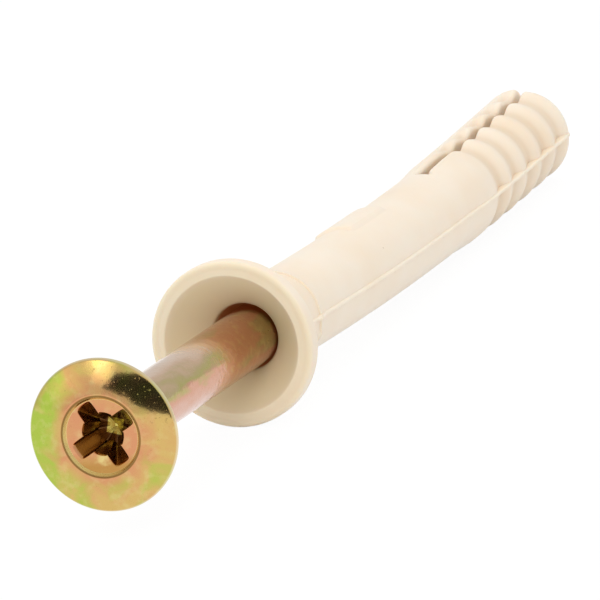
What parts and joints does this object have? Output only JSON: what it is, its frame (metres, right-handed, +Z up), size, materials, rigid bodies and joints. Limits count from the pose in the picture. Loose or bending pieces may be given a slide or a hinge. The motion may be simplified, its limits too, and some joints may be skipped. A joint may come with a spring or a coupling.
{
  "type": "hammer fixing plug",
  "caption": "Nylon hammer fixing plug with a funnel collar and a split barbed end, and a domed cross-recess steel hammer screw part-way in, ready to be driven.",
  "frame": {"origin": "centre of the collar's front rim, on the plug's axis", "axes": "+Y from the head towards the barbed end, +Z up as the loose plug lies on its collar and barbed end, so the axis dips 2.4 degrees below +Y; the slot is upright and the parting lines face +X and -X"},
  "size_m": [0.0147, 0.1125, 0.0151],
  "materials": {
    "nylon": "matte",
    "yellow_zinc": "satin"
  },
  "bodies": {
    "sleeve": {"sleeve": "nylon"},
    "hammer_screw": {"hammer_screw": "yellow_zinc"}
  },
  "joints": [
    {"name": "screw_drive", "type": "slide", "parent": "sleeve", "child": "hammer_screw", "axis": [0, 0.9992, -0.0411], "range_m": [0, 0.0309], "deforming": ["sleeve"]}
  ]
}
